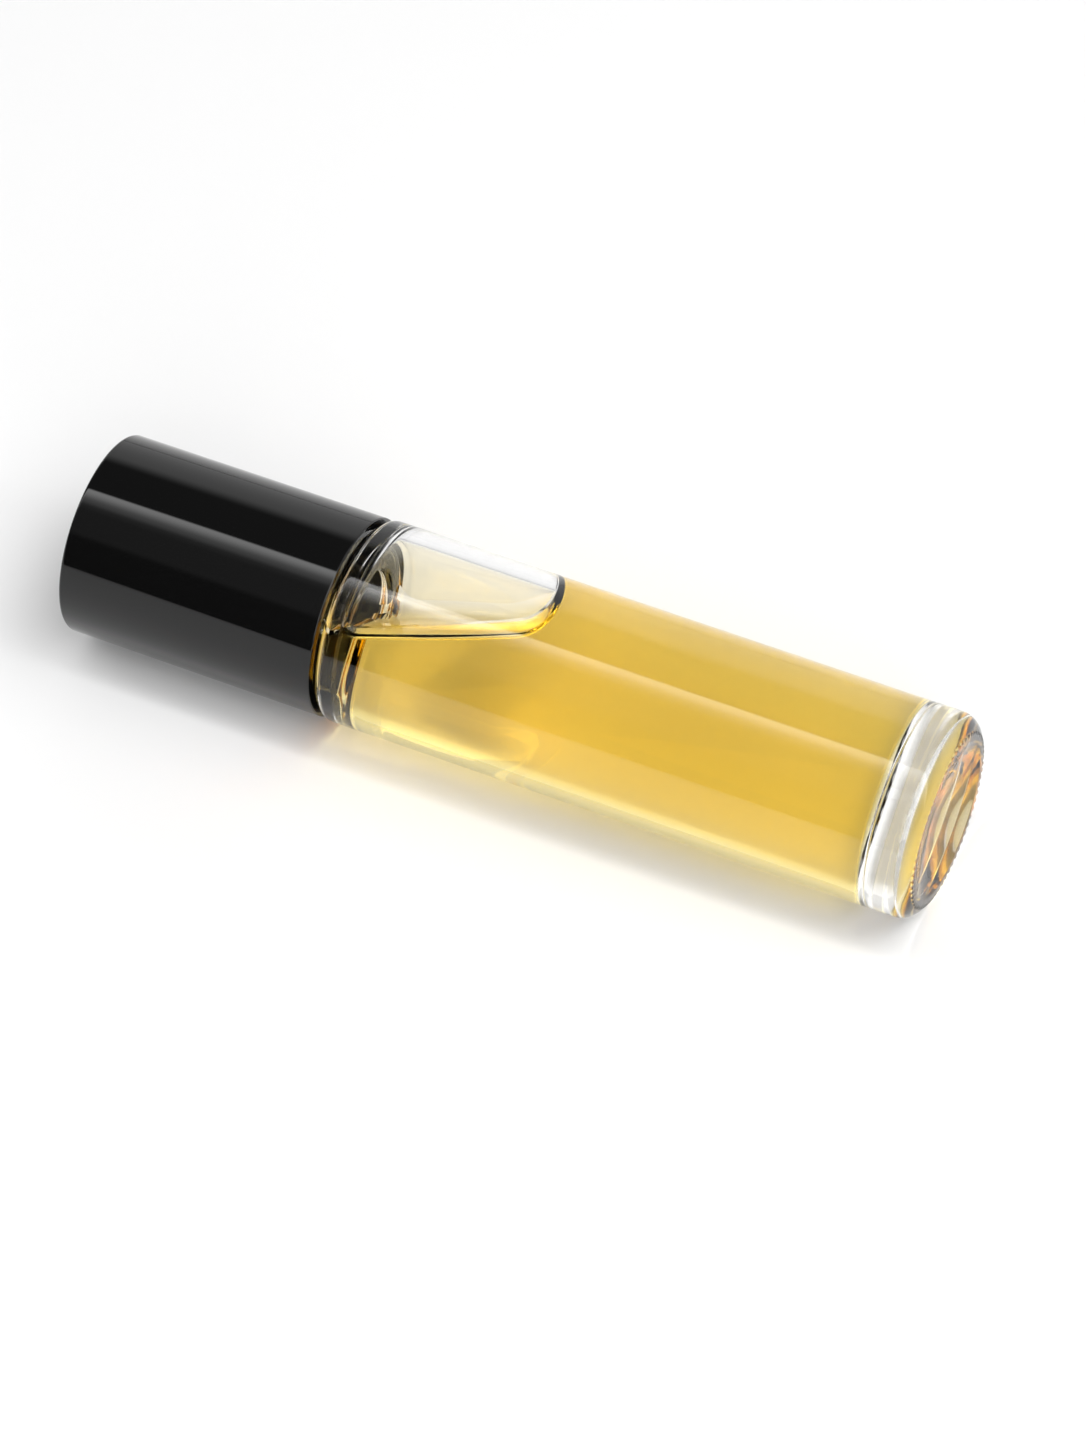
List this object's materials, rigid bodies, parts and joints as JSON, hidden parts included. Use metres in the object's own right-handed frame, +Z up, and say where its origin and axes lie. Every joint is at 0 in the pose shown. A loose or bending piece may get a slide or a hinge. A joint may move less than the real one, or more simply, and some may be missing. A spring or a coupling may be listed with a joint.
{
  "type": "roll on bottle",
  "caption": "Slim glass roll-on bottle of golden oil lying on its side, with a screw cap over a captive ball roller.",
  "frame": {"origin": "on the surface the bottle lies on, under the middle of its length", "axes": "X along the bottle's axis, +X towards the base and -X towards the cap, +Z up from the surface it lies on"},
  "size_m": [0.087, 0.02, 0.02],
  "materials": {
    "clear_glass": "polished",
    "golden_oil": "clear liquid",
    "natural_plastic": "satin",
    "black_plastic": "high gloss",
    "steel_ball": "polished",
    "black_liner": "satin",
    "soft_seal": "soft satin"
  },
  "bodies": {
    "bottle": {"glass_bottle": "clear_glass", "oil_fill": "golden_oil", "roller_housing": "natural_plastic"},
    "ball": {"roller_ball": "steel_ball"},
    "seal": {"cap_seal": "soft_seal"},
    "cap": {"cap_shell": "black_plastic", "cap_sleeve": "black_liner"}
  },
  "joints": [
    {"name": "ball_roll", "type": "hinge", "parent": "bottle", "child": "ball", "pos_m": [-0.0327, 0, 0.01], "axis": [0, 1, 0], "continuous": true},
    {"name": "cap_lift", "type": "slide", "parent": "bottle", "child": "seal", "axis": [-1, 0, 0], "range_m": [0, 0.0232]},
    {"name": "cap_turn", "type": "hinge", "parent": "seal", "child": "cap", "pos_m": [-0.03, 0, 0.01], "axis": [-1, 0, 0], "range_deg": [0, 3960]}
  ],
  "couplings": [
    {"joint": "cap_lift", "follows": "cap_turn", "m_per_rad": 0.00033423}
  ]
}
